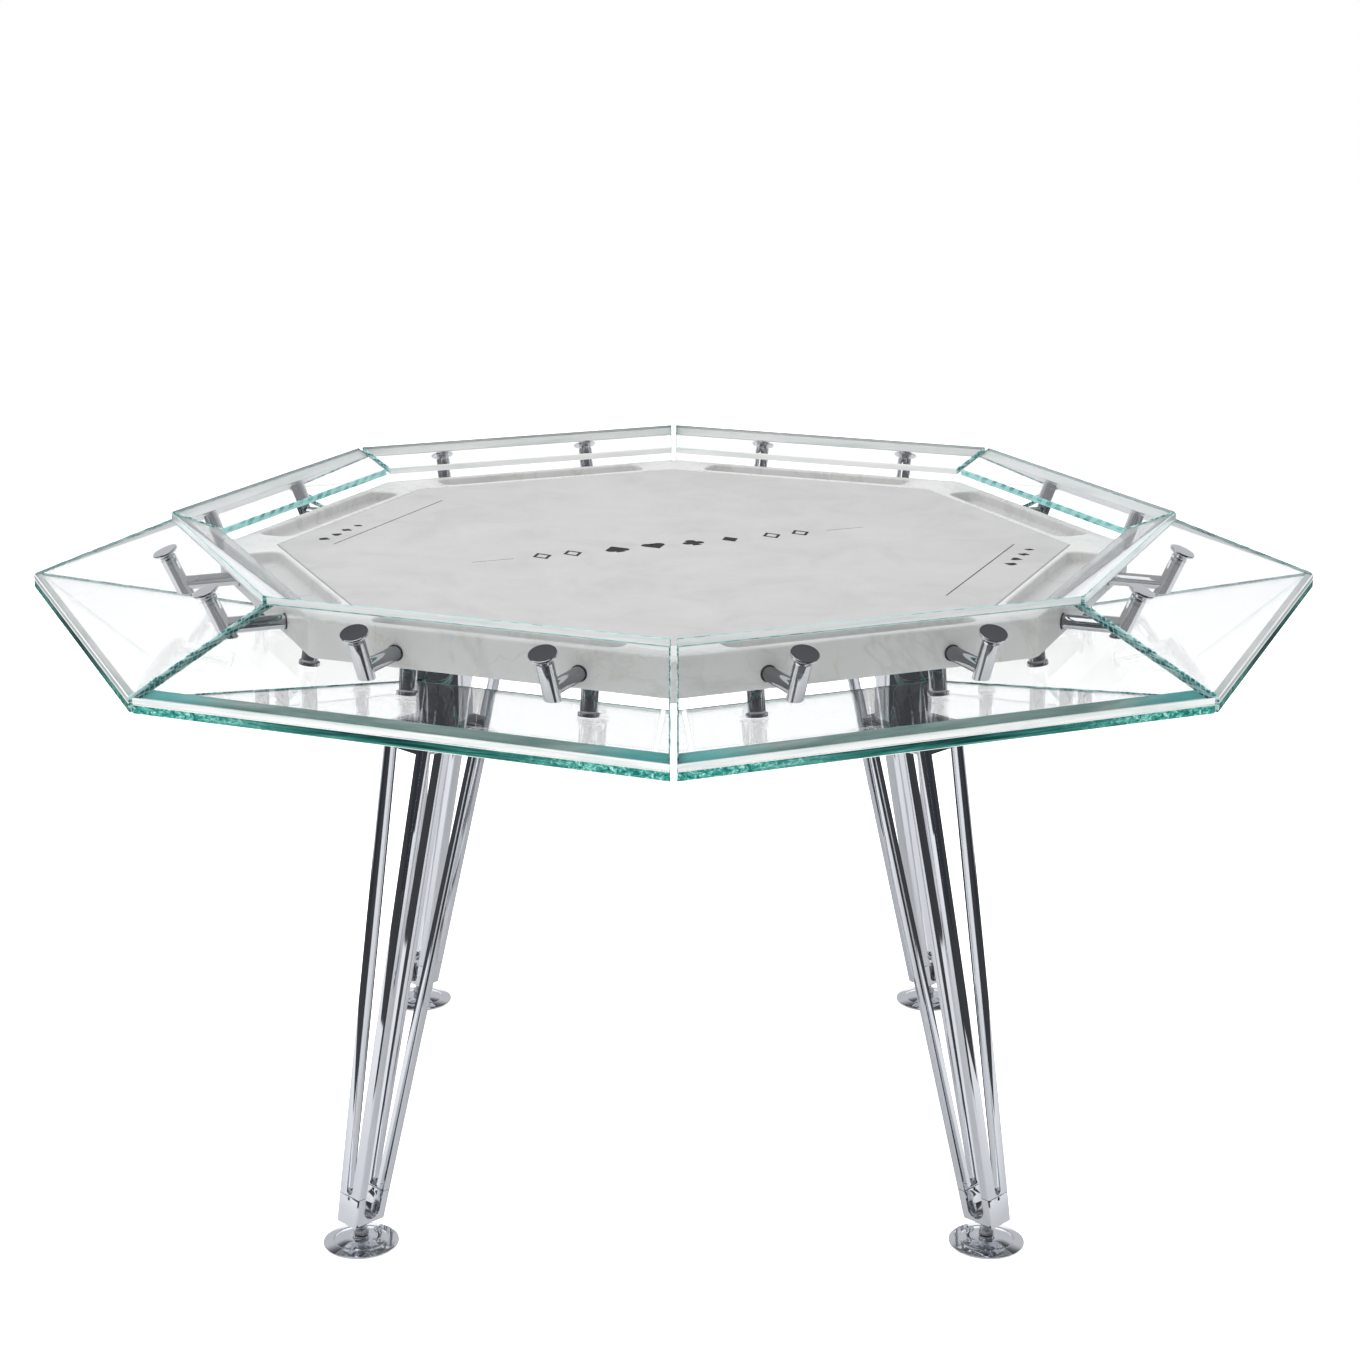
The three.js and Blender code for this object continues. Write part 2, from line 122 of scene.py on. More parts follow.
# ---- legs and feet ----
LEG_ARRIS = 0.0014
LEG_JOINT = 0.0635             # height of the joint between a leg's bars and its foot block
JOINT_GAP = 0.0005
DRUM_EDGE = 0.0015
SCREW_HEAD = 0.0042
SCREW_THICK = 0.003
SCREW_SUNK = 0.0008
DISC_RIM = 0.0026
DISC_CREASE = (0.031, 0.0052)  # radius and height of the line where the dome starts
DISC_HUB = 0.011
DISC_BORE = 0.0067
DISC_DOME = 0.0086
DISC_EDGE = 0.0006
DISC_STEPS = 10
STUD_SEAT_GAP = 0.0003
STUD_EDGE = 0.0006
STUD_RADIUS = 0.006
THREAD_PITCH = 0.00175
THREAD_DEPTH = 0.0008
HEX_LOW = 0.011
HEX_HIGH = 0.018
HEX_RADIUS = 0.0095
HEX_CHAMFER = 0.0008
HEX_OVERLAP = 0.0005           # how far the shank and the thread run into the collar

# ---- studio ----
CAMERA_PLACE = (0, -3.0775, 1.4347)
CAMERA_PITCH = 15.57
LENS = 68.23
SHIFT_X = 0.0046
FLOOR_RADIUS = 14.0
FLOOR_LEVEL = -0.0125          # just under the lowest that a foot can be screwed down to
FLOOR_GLOW = 0.22              # what the floor adds to what lights the table
FLOOR_SEEN = 1.0               # what it adds where it is seen straight or through glass
PALE_FLOOR = (1.75, -0.84)     # polished surfaces see a pale floor within this |x| and beyond this y
HIGH_BACKDROP = 0.47           # how bright the upper backdrop is in polished surfaces
STRIP_PLACE = 0.955            # where the strip lights stand, as the |x| of a level direction
PALE_REFLECTION = (0.84, 0.85, 0.87)
DARK_REFLECTION = (0.03, 0.033, 0.04)
KEY_PLACE = (-1.6, -1.2, 4.2)
KEY_TARGET = (0, 0, 0.7)
KEY_SIZE = 3.6
KEY_POWER = 50
FRONT_FILL = (0.74, 0.74, 0.74)


# ---------------------------------------------------------------- materials

class Tree:
    """A node tree and short ways to add to it."""

    def __init__(self, owner):
        owner.use_nodes = True
        self.nodes = owner.node_tree.nodes
        self.links = owner.node_tree.links

    def node(self, kind, inputs, **settings):
        made = self.nodes.new(kind)
        for key, value in settings.items():
            setattr(made, key, value)
        for key, value in inputs.items():
            if isinstance(value, bpy.types.NodeSocket):
                self.links.new(value, made.inputs[key])
            else:
                made.inputs[key].default_value = value
        return made

    def spread(self, factor, low, high, start=0.3, end=0.7, kind="LINEAR"):
        inputs = {"Value": factor, "From Min": start, "From Max": end, "To Min": low, "To Max": high}
        return self.node("ShaderNodeMapRange", inputs, interpolation_type=kind).outputs["Result"]

    def sums(self, operation, a, b=0.0):
        return self.node("ShaderNodeMath", {0: a, 1: b}, operation=operation).outputs[0]

    def mix(self, factor, a, b, blend="MIX"):
        made = self.node("ShaderNodeMix", {}, data_type="RGBA", blend_type=blend)
        for index, value in ((0, factor), (6, a), (7, b)):
            socket = made.inputs[index]
            if isinstance(value, bpy.types.NodeSocket):
                self.links.new(value, socket)
            else:
                socket.default_value = value if index == 0 else (*value, 1)
        return made.outputs[2]

    def ramp(self, factor, *stops):
        """A colour for each (position, colour) stop."""
        made = self.node("ShaderNodeValToRGB", {"Fac": factor})
        band = made.color_ramp
        while len(band.elements) < len(stops):
            band.elements.new(0.5)
        for element, (position, colour) in zip(band.elements, stops):
            element.position = position
            element.color = (*colour, 1)
        return made.outputs["Color"]

    def after_polish(self):
        """1 for rays that a polished surface has sent on, also when they leave through glass."""
        path = self.node("ShaderNodeLightPath", {}).outputs
        sent = self.sums("GREATER_THAN", path["Glossy Depth"], 0.5)
        return self.sums("MULTIPLY", sent, self.sums("SUBTRACT", 1, path["Is Diffuse Ray"]))


class Look(Tree):
    """A Principled material and the procedural textures that drive it."""

    def __init__(self, name, colour=(0.8, 0.8, 0.8), roughness=0.5, metallic=0.0, **constants):
        self.material = bpy.data.materials.new(name)
        super().__init__(self.material)
        self.shader = self.nodes["Principled BSDF"]
        self.shader.inputs["Base Color"].default_value = (*colour, 1)
        self.shader.inputs["Roughness"].default_value = roughness
        self.shader.inputs["Metallic"].default_value = metallic
        for socket, value in constants.items():
            self.shader.inputs[socket.replace("_", " ")].default_value = value
        self.place = self.nodes.new("ShaderNodeTexCoord").outputs["Object"]

    def noise(self, scale, detail=4.0, roughness=0.5, distortion=0.0, stretch=None):
        vector = self.place
        if stretch:
            vector = self.node("ShaderNodeMapping", {"Vector": vector, "Scale": stretch}).outputs["Vector"]
        inputs = {"Vector": vector, "Scale": scale, "Detail": detail, "Roughness": roughness,
                  "Distortion": distortion}
        return self.node("ShaderNodeTexNoise", inputs).outputs["Fac"]

    def stripes(self, direction, period, distortion=0.0):
        """Soft bands, once in each period along X. DIAGONAL bands follow x + y + z, at half the rate."""
        inputs = {"Vector": self.place, "Scale": WAVE_PERIOD / period, "Distortion": distortion,
                  "Detail": 3.0, "Detail Scale": 1.5}
        return self.node("ShaderNodeTexWave", inputs, bands_direction=direction).outputs["Fac"]

    def near_ends(self, start, end):
        """0 in the middle of a rim section and 1 by its mitred ends."""
        offset = self.node("ShaderNodeSeparateXYZ", {"Vector": self.place}).outputs["Y"]
        return self.spread(self.sums("ABSOLUTE", offset), 0, 1, start, end, "SMOOTHSTEP")

    def drive(self, socket, output):
        self.links.new(output, self.shader.inputs[socket])

    def bump(self, height, distance, strength=1.0):
        inputs = {"Height": height, "Distance": distance, "Strength": strength}
        self.drive("Normal", self.node("ShaderNodeBump", inputs).outputs["Normal"])

    def lets_light_through(self, share):
        """Shadow rays pass straight through, so that what lies under the glass is lit."""
        path = self.nodes.new("ShaderNodeLightPath").outputs["Is Shadow Ray"]
        clear = self.node("ShaderNodeBsdfTransparent", {"Color": (*share, 1)}).outputs["BSDF"]
        mixed = self.nodes.new("ShaderNodeMixShader")
        self.links.new(path, mixed.inputs[0])
        self.links.new(self.shader.outputs["BSDF"], mixed.inputs[1])
        self.links.new(clear, mixed.inputs[2])
        self.links.new(mixed.outputs["Shader"], self.nodes["Material Output"].inputs["Surface"])


def clear_glass():
    look = Look("clear_glass", (0.985, 0.992, 0.99), 0.0, Transmission_Weight=1.0, IOR=1.5)
    haze = look.noise(9.0, 3.0)
    look.drive("Base Color", look.ramp(haze, (0.3, (0.985, 0.993, 0.991)), (0.7, (0.993, 0.998, 0.996))))
    look.lets_light_through((0.95, 0.97, 0.965))
    return look.material


def edge_look(name):
    """A sawn and polished glass edge, which light trapped in the slab tints."""
    look = Look(name, (0.1, 0.4, 0.35), 0.12, Coat_Weight=0.6, Coat_Roughness=0.03)
    look.bump(look.noise(1.0, 2.0, stretch=(60, 14, 60)), 0.0004, 0.25)
    return look


def base_edge():
    """Dark sea green, the glass seen edge-on, with painted glints in long streaks, breaking up into bright
    painted grains of light by the corners.
    """
    look = edge_look("base_edge")
    streaks = look.noise(1.0, 5.0, 0.65, 0.5, stretch=(30, 7, 260))
    smooth = look.ramp(streaks, (0.38, (0.005, 0.055, 0.05)), (0.5, (0.03, 0.18, 0.155)),
                       (0.58, (0.1, 0.34, 0.3)), (0.66, (0.42, 0.72, 0.66)))
    glint_noise = look.noise(1.0, 3.0, 0.7, 0.9, stretch=(150, 150, 240))
    corner_glints = look.ramp(glint_noise, (0.36, (0.006, 0.12, 0.1)), (0.5, (0.05, 0.34, 0.29)),
                       (0.58, (0.16, 0.55, 0.48)), (0.68, (0.62, 0.88, 0.83)))
    look.drive("Base Color", look.mix(look.near_ends(0.1, 0.24), smooth, corner_glints))
    return look.material


def painted_reflection_edge():
    # Near white: a painted reflection of the bright backdrop in the polished edge
    look = edge_look("painted_reflection_edge")
    streaks = look.noise(1.0, 4.0, 0.6, 0.3, stretch=(30, 6, 130))
    look.drive("Base Color", look.ramp(streaks, (0.34, (0.7, 0.79, 0.77)), (0.48, (0.88, 0.9, 0.895)),
                                       (0.66, (0.96, 0.96, 0.96))))
    return look.material


def mitre_edge():
    """Sea green with painted light in its streaks and a row of bright painted glints."""
    look = edge_look("mitre_edge")
    glints = look.stripes("X", 0.0062, 2.2)
    streaks = look.noise(1.0, 4.0, 0.6, 0.4, stretch=(18, 60, 260))
    body = look.ramp(streaks, (0.34, (0.006, 0.06, 0.075)), (0.43, (0.04, 0.23, 0.23)),
                     (0.5, (0.14, 0.44, 0.43)), (0.57, (0.62, 0.84, 0.83)))
    shine = look.ramp(glints, (0.7, (0, 0, 0)), (0.95, (0.5, 0.5, 0.5)))
    look.drive("Base Color", look.mix(shine, body, (0.8, 0.92, 0.91)))
    return look.material


def lip_edge():
    """Aqua, painted light trapped in the glass, broken by slanting darker stripes."""
    look = edge_look("lip_edge")
    bands = look.stripes("DIAGONAL", 0.012, 2.5)
    streaks = look.noise(1.0, 4.0, 0.6, 0.3, stretch=(20, 9, 220))
    body = look.ramp(streaks, (0.36, (0.03, 0.27, 0.25)), (0.5, (0.16, 0.52, 0.49)), (0.66, (0.5, 0.82, 0.8)))
    shine = look.ramp(bands, (0.4, (0, 0, 0)), (0.62, (0.8, 0.8, 0.8)))
    look.drive("Base Color", look.mix(shine, body, (0.42, 0.79, 0.8)))
    return look.material


def bonded_edge():
    """The grey-green band of a bonded joint, turning to aqua by the corners: the joint, with painted light
    from the base slab's edge seen through it.
    """
    look = edge_look("bonded_edge")
    streaks = look.noise(1.0, 4.0, 0.6, 0.4, stretch=(40, 5, 40))
    centre = look.ramp(streaks, (0.36, (0.16, 0.27, 0.25)), (0.5, (0.25, 0.36, 0.34)),
                       (0.64, (0.42, 0.52, 0.5)))
    corner = look.ramp(streaks, (0.36, (0.09, 0.38, 0.38)), (0.62, (0.2, 0.56, 0.56)))
    look.drive("Base Color", look.mix(look.near_ends(0.17, 0.27), centre, corner))
    return look.material


def chrome(name, tint, rough=0.04):
    look = Look(name, tint, rough, 1.0)
    haze = look.noise(14.0, 5.0, 0.6)
    look.drive("Base Color", look.ramp(haze, (0.35, tint), (0.65, tuple(0.96 * c for c in tint))))
    look.drive("Roughness", look.spread(haze, 0.5 * rough, 1.5 * rough))
    look.bump(look.noise(3.5, 2.0), 0.0004, 0.08)
    return look.material


def steel():
    look = Look("turned_steel", (0.62, 0.63, 0.65), 0.28, 1.0)
    turning = look.noise(1.0, 3.0, stretch=(30, 30, 2600))
    look.drive("Base Color", look.ramp(turning, (0.35, (0.5, 0.51, 0.53)), (0.65, (0.7, 0.71, 0.73))))
    look.drive("Roughness", look.spread(turning, 0.18, 0.4))
    return look.material


def painted_gap_shade():
    # Near black: painted shade for the gaps it fills
    look = Look("painted_gap_shade", (0.03, 0.032, 0.035), 0.55)
    shade_speckle = look.noise(300.0, 3.0)
    look.drive("Base Color", look.ramp(shade_speckle, (0.4, (0.022, 0.024, 0.027)), (0.7, (0.05, 0.052, 0.056))))
    return look.material


def marble(name, tone):
    look = Look(name, (0.76, 0.76, 0.755), 0.3, Coat_Weight=0.25, Coat_Roughness=0.12)
    cloud = look.noise(3.2, 6.0, 0.62, 0.6)
    body = look.ramp(cloud, (0.3, (0.94 * tone, 0.94 * tone, 0.935 * tone)),
                     (0.55, (tone, tone, 0.994 * tone)), (0.75, (1.04 * tone, 1.04 * tone, 1.035 * tone)))
    veins = look.noise(2.1, 7.0, 0.6, 2.6)
    vein = look.ramp(veins, (0.475, (0, 0, 0)), (0.5, (0.7, 0.7, 0.7)), (0.525, (0, 0, 0)))
    grey = look.mix(vein, body, (0.82 * tone, 0.826 * tone, 0.83 * tone))
    gold_veins = look.noise(3.7, 6.0, 0.6, 3.4)
    gold = look.ramp(gold_veins, (0.488, (0, 0, 0)), (0.5, (0.5, 0.5, 0.5)), (0.512, (0, 0, 0)))
    look.drive("Base Color", look.mix(gold, grey, (0.82 * tone, 0.76 * tone, 0.62 * tone)))
    look.drive("Roughness", look.spread(cloud, 0.24, 0.4))
    return look.material


def leather():
    look = Look("grey_nubuck", (0.5, 0.5, 0.498), 0.72, Sheen_Weight=0.25, Sheen_Roughness=0.5)
    smudge = look.noise(11.0, 7.0, 0.62, 0.8)
    fine = look.noise(60.0, 4.0, 0.6)
    tone = look.ramp(smudge, (0.3, (0.46, 0.46, 0.457)), (0.5, (0.515, 0.515, 0.512)),
                     (0.7, (0.55, 0.55, 0.547)))
    look.drive("Base Color", look.mix(look.spread(fine, 0.0, 0.16), tone, (0.62, 0.62, 0.616)))
    look.drive("Roughness", look.spread(fine, 0.62, 0.84))
    grain = look.node("ShaderNodeTexVoronoi", {"Vector": look.place, "Scale": 620.0}).outputs["Distance"]
    look.bump(grain, 0.0003, 0.35)
    return look.material


def print_ink():
    look = Look("print_ink", (0.012, 0.012, 0.013), 0.6)
    wear = look.noise(240.0, 4.0)
    look.drive("Base Color", look.ramp(wear, (0.4, (0.01, 0.01, 0.011)), (0.75, (0.035, 0.035, 0.036))))
    return look.material


def painted_board():
    look = Look("painted_board", (0.2, 0.2, 0.2), 0.55)
    grain = look.noise(1.0, 5.0, 0.6, 0.5, stretch=(6, 90, 90))
    look.drive("Base Color", look.ramp(grain, (0.3, (0.17, 0.168, 0.165)), (0.7, (0.25, 0.247, 0.242))))
    look.drive("Roughness", look.spread(grain, 0.45, 0.65))
    look.bump(grain, 0.0004, 0.3)
    return look.material


GLASS = clear_glass()
MITRE_EDGE = mitre_edge()
BASE_EDGE = base_edge()
PAINTED_REFLECTION_EDGE = painted_reflection_edge()
BONDED_EDGE = bonded_edge()
LIP_EDGE = lip_edge()
CHROME = chrome("chrome", (0.86, 0.87, 0.895))
LEG_CHROME = chrome("leg_chrome", (0.84, 0.855, 0.89))
STEEL = steel()
GAP_SHADE = painted_gap_shade()
MARBLE = marble("marble", MARBLE_TONE)
# A darker copy of the marble: painted shade for the trays
SHADED_TRAY_MARBLE = marble("tray_marble_painted_shade", TRAY_TONE)
LEATHER = leather()
INK = print_ink()
BOARD = painted_board()


# ---------------------------------------------------------------- mesh helpers

def rounded(points, radius, steps=4):
    """The open line of (r, z) points with each inner corner rounded."""
    line = [Vector(p) for p in points]
    out = [line[0]]
    for a, b, c in zip(line, line[1:], line[2:]):
        u, v = a - b, c - b
        cut = min(radius / math.tan(u.angle(v) / 2), 0.48 * u.length, 0.48 * v.length)
        start, end = b + u.normalized() * cut, b + v.normalized() * cut
        for i in range(steps + 1):
            t = i / steps
            out.append((1 - t) ** 2 * start + 2 * t * (1 - t) * b + t * t * end)
    return out + [line[-1]]


def quarter(steps=4):
    """Sine and one minus cosine over a quarter turn, for rounding an edge."""
    angles = [math.pi / 2 * i / steps for i in range(steps + 1)]
    return [(math.sin(a), 1 - math.cos(a)) for a in angles]


def full_turn(segments):
    return [2 * math.pi * i / segments for i in range(segments)]


def pairs(loop):
    """Each item of a closed loop with the next one."""
    return zip(loop, loop[1:] + loop[:1])


def add_rings(bm, rings, material=0, closed_ends=True):
    """Skins a list of rings that all have the same number of points. Returns the rings' vertices."""
    made = [[bm.verts.new(p) for p in ring] for ring in rings]
    for low, high in zip(made, made[1:]):
        for (a, b), (c, d) in zip(pairs(low), pairs(high)):
            bm.faces.new((a, b, d, c)).material_index = material
    if closed_ends:
        bm.faces.new(made[0][::-1]).material_index = material
        bm.faces.new(made[-1]).material_index = material
    return made


def add_lathe(bm, profile, place, segments=48, material=0):
    """A turned solid about Z; the profile's (r, z) points run from the axis to the axis, lowest first."""
    inner = [p for p in profile if p[0] > 1e-7]
    turn = full_turn(segments)
    rings = [[place @ Vector((r * math.cos(a), r * math.sin(a), z)) for a in turn] for r, z in inner]
    return add_rings(bm, rings, material)


def drum_profile(radius, low, high):
    return [(0, low), (radius, low), (radius, high), (0, high)]


def along(start, end):
    """Places a solid that stands on the origin along +Z so that it runs from start towards end."""
    return Matrix.Translation(start) @ (end - start).to_track_quat("Z", "Y").to_matrix().to_4x4()


def new_piece(name, bm, materials, node, body="table", turn=0.0, sharp=35):
    """Makes a piece of the mesh, in place of a CAD node or as an extra one."""
    bmesh.ops.recalc_face_normals(bm, faces=bm.faces)
    mesh = bpy.data.meshes.new(name)
    bm.to_mesh(mesh)
    bm.free()
    for face in mesh.polygons:
        face.use_smooth = True
    mesh.set_sharp_from_angle(angle=math.radians(sharp))
    for material in materials:
        mesh.materials.append(material)
    piece = bpy.data.objects.new(name, mesh)
    bpy.context.scene.collection.objects.link(piece)
    piece.matrix_world = Matrix.Rotation(turn, 4, "Z")
    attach(piece, body)
    if node:
        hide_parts(node)
    return piece


def cad_points(node, turn=0.0):
    """The node's vertices, turned back so that its own direction is +X."""
    back = Matrix.Rotation(-turn, 4, "Z")
    return [back @ v.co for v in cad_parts[node].data.vertices]


def cad_solid(node, turn=0.0):
    """A copy of the node's mesh with whole flat faces."""
    bm = bmesh.new()
    bm.from_mesh(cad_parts[node].data)
    bmesh.ops.transform(bm, matrix=Matrix.Rotation(-turn, 4, "Z"), verts=bm.verts)
    bmesh.ops.remove_doubles(bm, verts=bm.verts, dist=1e-5)
    bmesh.ops.dissolve_limit(bm, angle_limit=math.radians(0.3), verts=bm.verts, edges=bm.edges)
    bm.normal_update()
    return bm


def cut_mesh(bm, place, normal, **keep):
    geometry = bm.verts[:] + bm.edges[:] + bm.faces[:]
    return bmesh.ops.bisect_plane(bm, geom=geometry, plane_co=place, plane_no=normal, **keep)


def bevel_edges(bm, width, segments=1, material=-1, sharp=20, smallest=0.0):
    """Bevels the sharp edges, apart from those of faces smaller than the smallest."""
    edges = [e for e in bm.edges if e.is_manifold and e.calc_face_angle() > math.radians(sharp)]
    edges = [e for e in edges if min(f.calc_area() for f in e.link_faces) > smallest]
    bmesh.ops.bevel(bm, geom=edges, offset=width, offset_type="OFFSET", segments=segments,
                    profile=0.5, affect="EDGES", clamp_overlap=True, material=material)


def middle(points):
    return sum(points, Vector()) / len(points)


def farthest(points, centre):
    return max((p - centre).length for p in points)


# ---------------------------------------------------------------- glass rim

def broad_normal(bm):
    """Upward normal of a slab's largest faces."""
    normal = max(bm.faces, key=lambda f: f.calc_area()).normal.copy()
    return normal if normal.z > 0 else -normal


def edge_material(kind, face, number):
    """The material of one of a slab's long edges; each edge material paints the light that edge shows."""
    outwards = face.normal.x > 0
    if kind == "base":
        return BASE
    if kind == "lip":
        return PALE if outwards or number in REAR_SECTIONS else LIP
    upright = abs(face.normal.z) < 0.1
    return BONDED if number in FRONT_SECTIONS and not (upright and outwards) else PALE


def paint_bonded_light_band(bm, up):
    """A band on the slope's underside, inside its bonded lower edge, painted with the light seen through the
    joint.
    """
    under = [f for f in bm.faces if f.normal.dot(up) < -0.99]
    start = max(v.co.x for f in under for v in f.verts) - HEEL_BAND
    cut_mesh(bm, Vector((start, 0, 0)), Vector((1, 0, 0)))
    bm.normal_update()
    for face in bm.faces:
        if face.normal.dot(up) < -0.99 and face.calc_center_median().x > start:
            face.material_index = BONDED


def glass_slab(kind, number):
    """One slab with polished arrises."""
    turn = FIRST_SIDE + number * TURN
    node = f"glass_{kind}_{number + 1}"
    bm = cad_solid(node, turn)
    up = broad_normal(bm)
    for face in bm.faces:
        if abs(face.normal.dot(up)) > 0.99 or face.calc_area() < SMALL_FACE:
            face.material_index = CLEAR
        elif abs(face.normal.y) > 0.5:
            face.material_index = MITRE
        else:
            face.material_index = edge_material(kind, face, number)
    aqua_highlight = kind == "lip" and number not in REAR_SECTIONS
    # The arrises take painted highlights: aqua on the lips but the rear ones, pale elsewhere
    bevel_edges(bm, ARRIS, 1, LIP if aqua_highlight else PALE, ARRIS_FROM, SMALL_FACE)
    for face in bm.faces:
        if face.material_index in (PALE, LIP) and 0.35 < abs(face.normal.y) < 0.9:
            face.material_index = MITRE
    if kind == "slope" and number in FRONT_SECTIONS:
        paint_bonded_light_band(bm, up)
    materials = (GLASS, MITRE_EDGE, BASE_EDGE, PAINTED_REFLECTION_EDGE, BONDED_EDGE, LIP_EDGE)
    new_piece(f"{kind}_slab_{number + 1}", bm, materials, node, turn=turn,
              sharp=ARRIS_FROM)


def glass_rim():
    for number in range(SIDES):
        for kind in ("slope", "lip", "base"):
            glass_slab(kind, number)


# ---------------------------------------------------------------- brackets

def add_stem(bm, top, up, foot_z, segments=56):
    """Round bar from top down along the slope's normal, its foot cut level."""
    across = up.cross(Vector((0, 1, 0))).normalized()
    rings = []
    for inset, rise in ((STEM_EDGE, 0), (0, STEM_EDGE)):
        ring = []
        for a in full_turn(segments):
            side = (across * math.cos(a) + Vector((0, 1, 0)) * math.sin(a)) * (STEM_RADIUS - inset)
            start = top + side
            ring.append(start - up * (start.z - foot_z - rise) / up.z)
        rings.append(ring)
    for inset, drop in ((0, STEM_EDGE), (STEM_EDGE, 0)):
        ring = []
        for a in full_turn(segments):
            side = (across * math.cos(a) + Vector((0, 1, 0)) * math.sin(a)) * (STEM_RADIUS - inset)
            ring.append(top - up * drop + side)
        rings.append(ring)
    add_rings(bm, rings)


def at_height(start, direction, z):
    return start + direction * (z - start.z) / direction.z


def bracket(node, turn, up):
    """Cap on the slope, stem under it, rod into the ring, and post down to the base slab."""
    points = cad_points(node, turn)
    top = max(p.dot(up) for p in points)
    disc = [p for p in points if p.dot(up) > top - HAIR]
    cap = middle(disc)
    cap_radius = farthest(disc, cap)
    rim = [p for p in points if (p - cap).cross(up).length > 0.9 * cap_radius and p.x > cap.x - 0.05]
    cap_low = min(p.dot(up) for p in rim) - cap.dot(up)
    stem_top = cap + up * (cap_low - GLASS_THICK)
    foot_z = min(p.z for p in points if p.x > (cap.x + ring_apothem) / 2)

    bm = bmesh.new()
    draw_in, draw_up = CAP_TAPER
    head = [(0, cap_low), (cap_radius - draw_in, cap_low), (cap_radius, cap_low + draw_up), (cap_radius, 0),
            (0, 0)]
    outwards = along(cap, cap + up)
    add_lathe(bm, rounded(head, CAP_EDGE, 4), outwards, 72)
    add_lathe(bm, drum_profile(NECK_RADIUS, cap_low - GLASS_THICK - HAIR, cap_low + HAIR), outwards, 32)
    add_stem(bm, stem_top, up, foot_z)

    post_up = Vector((-math.sin(BASE_TILT), 0, math.cos(BASE_TILT)))
    low = min(p.dot(post_up) for p in points)
    pad = [p for p in points if p.dot(post_up) < low + HAIR]
    foot = middle(pad)
    pad_radius = farthest(pad, foot)
    standing = along(foot, foot + post_up)
    bond_top = PAD_THICK + POST_GROOVE
    post_top = (ring_low.z - foot.z) / post_up.z + POST_OVERLAP
    add_lathe(bm, rounded(drum_profile(pad_radius, 0, PAD_THICK), PAD_EDGE, 3), standing, 56)
    # The bond line takes the pale edge material: painted light
    add_lathe(bm, drum_profile(POST_RADIUS - BOND_INSET, PAD_THICK, bond_top), standing, 40, 2)
    add_lathe(bm, rounded(drum_profile(POST_RADIUS, bond_top, post_top), POST_EDGE, 3), standing, 56)

    rod_start = Vector((ring_apothem - ROD_OVERLAP, cap.y, ROD_HEIGHT))
    rod_end = at_height(cap, up, ROD_HEIGHT)
    lying = along(rod_start, rod_end)
    wider, proud = ROD_SHADOW
    add_lathe(bm, drum_profile(ROD_RADIUS, 0, (rod_end - rod_start).length), lying, 48)
    # The dark ring at the rod's socket is painted shade
    add_lathe(bm, drum_profile(ROD_RADIUS + wider, HAIR, ROD_OVERLAP + proud), lying, 48, 1)
    new_piece(node + "_peg", bm, (CHROME, GAP_SHADE, PAINTED_REFLECTION_EDGE), node, turn=turn)


def brackets():
    up = broad_normal(cad_solid("glass_slope_1", FIRST_SIDE))
    for number in range(SIDES):
        for hand in ("left", "right"):
            bracket(f"bracket_{number + 1}_{hand}", FIRST_SIDE + number * TURN, up)


# ---------------------------------------------------------------- ring, field and base plate

def octagon(apothem, corner, z, steps=9):
    """Points of an octagon with rounded corners."""
    reach = (apothem - corner) / math.cos(TURN / 2)
    points = []
    for i in range(SIDES):
        way = -math.pi / 2 + i * TURN
        for j in range(steps + 1):
            a = way + TURN * (j / steps - 0.5)
            x = reach * math.cos(way) + corner * math.cos(a)
            y = reach * math.sin(way) + corner * math.sin(a)
            points.append(Vector((x, y, z)))
    return points


def tray_outline(tray, grow, z, turn, steps=8):
    """Points of a tray's rounded rectangle, lying along one side of the ring and grown on all sides."""
    centre, wide, long = tray
    corner = TRAY_CORNER + grow
    place = Matrix.Rotation(turn, 4, "Z") @ Matrix.Translation((centre, 0, 0))
    points = []
    for i, (sx, sy) in enumerate(((1, 1), (-1, 1), (-1, -1), (1, -1))):
        for j in range(steps + 1):
            a = math.pi / 2 * (i + j / steps)
            x = sx * (wide / 2 - TRAY_CORNER) + corner * math.cos(a)
            y = sy * (long / 2 - TRAY_CORNER) + corner * math.sin(a)
            points.append(place @ Vector((x, y, z)))
    return points


def ring_tray():
    """The first side's chip tray: its centre line, width and length, and the height of its floor."""
    points = cad_points("stone_ring", FIRST_SIDE)
    reach = math.tan(TURN / 2)
    sunk = [p for p in points if p.x > 0 and abs(p.y) < reach * p.x and p.z < ring_high.z - HAIR]
    floor_z = max(p.z for p in sunk)
    bottom = [p for p in sunk if p.z > floor_z - HAIR]
    xs, ys = [p.x for p in bottom], [p.y for p in bottom]
    return ((min(xs) + max(xs)) / 2, max(xs) - min(xs), max(ys) - min(ys)), floor_z


